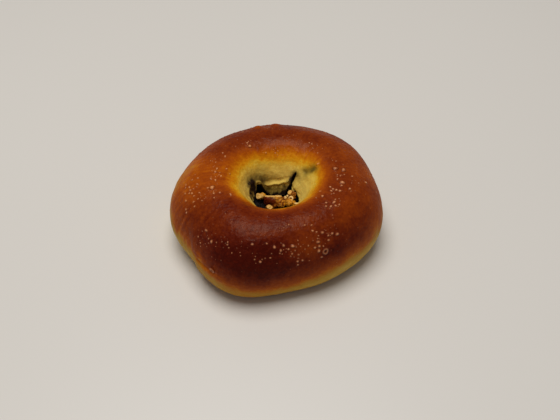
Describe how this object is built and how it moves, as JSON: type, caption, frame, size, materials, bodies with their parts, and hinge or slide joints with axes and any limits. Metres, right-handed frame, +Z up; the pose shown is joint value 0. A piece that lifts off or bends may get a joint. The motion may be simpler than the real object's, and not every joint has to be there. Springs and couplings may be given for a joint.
{
  "type": "red bean bun",
  "caption": "Round glazed bread bun with a dimple pressed into its top, torn open at the bottom over bean paste and broken walnut pieces.",
  "frame": {"origin": "on the surface that the bun stands on, under the middle of its box", "axes": "+Z up through the dimple, +X along the widest way across"},
  "size_m": [0.095, 0.0868, 0.0372],
  "materials": {
    "crust": "baked egg-washed crust, glossy brown outside, pale yellow in the dimple and low on the sides",
    "bean_paste": "moist, coarse, near-black red bean paste",
    "walnut": "toasted walnut kernel, cream where broken, amber-brown skin"
  },
  "bodies": {
    "root": {"bread": "crust", "bean_paste": "bean_paste", "walnut_large": "walnut", "walnut_right": "walnut", "walnut_left": "walnut", "walnut_front": "walnut"}
  },
  "joints": []
}
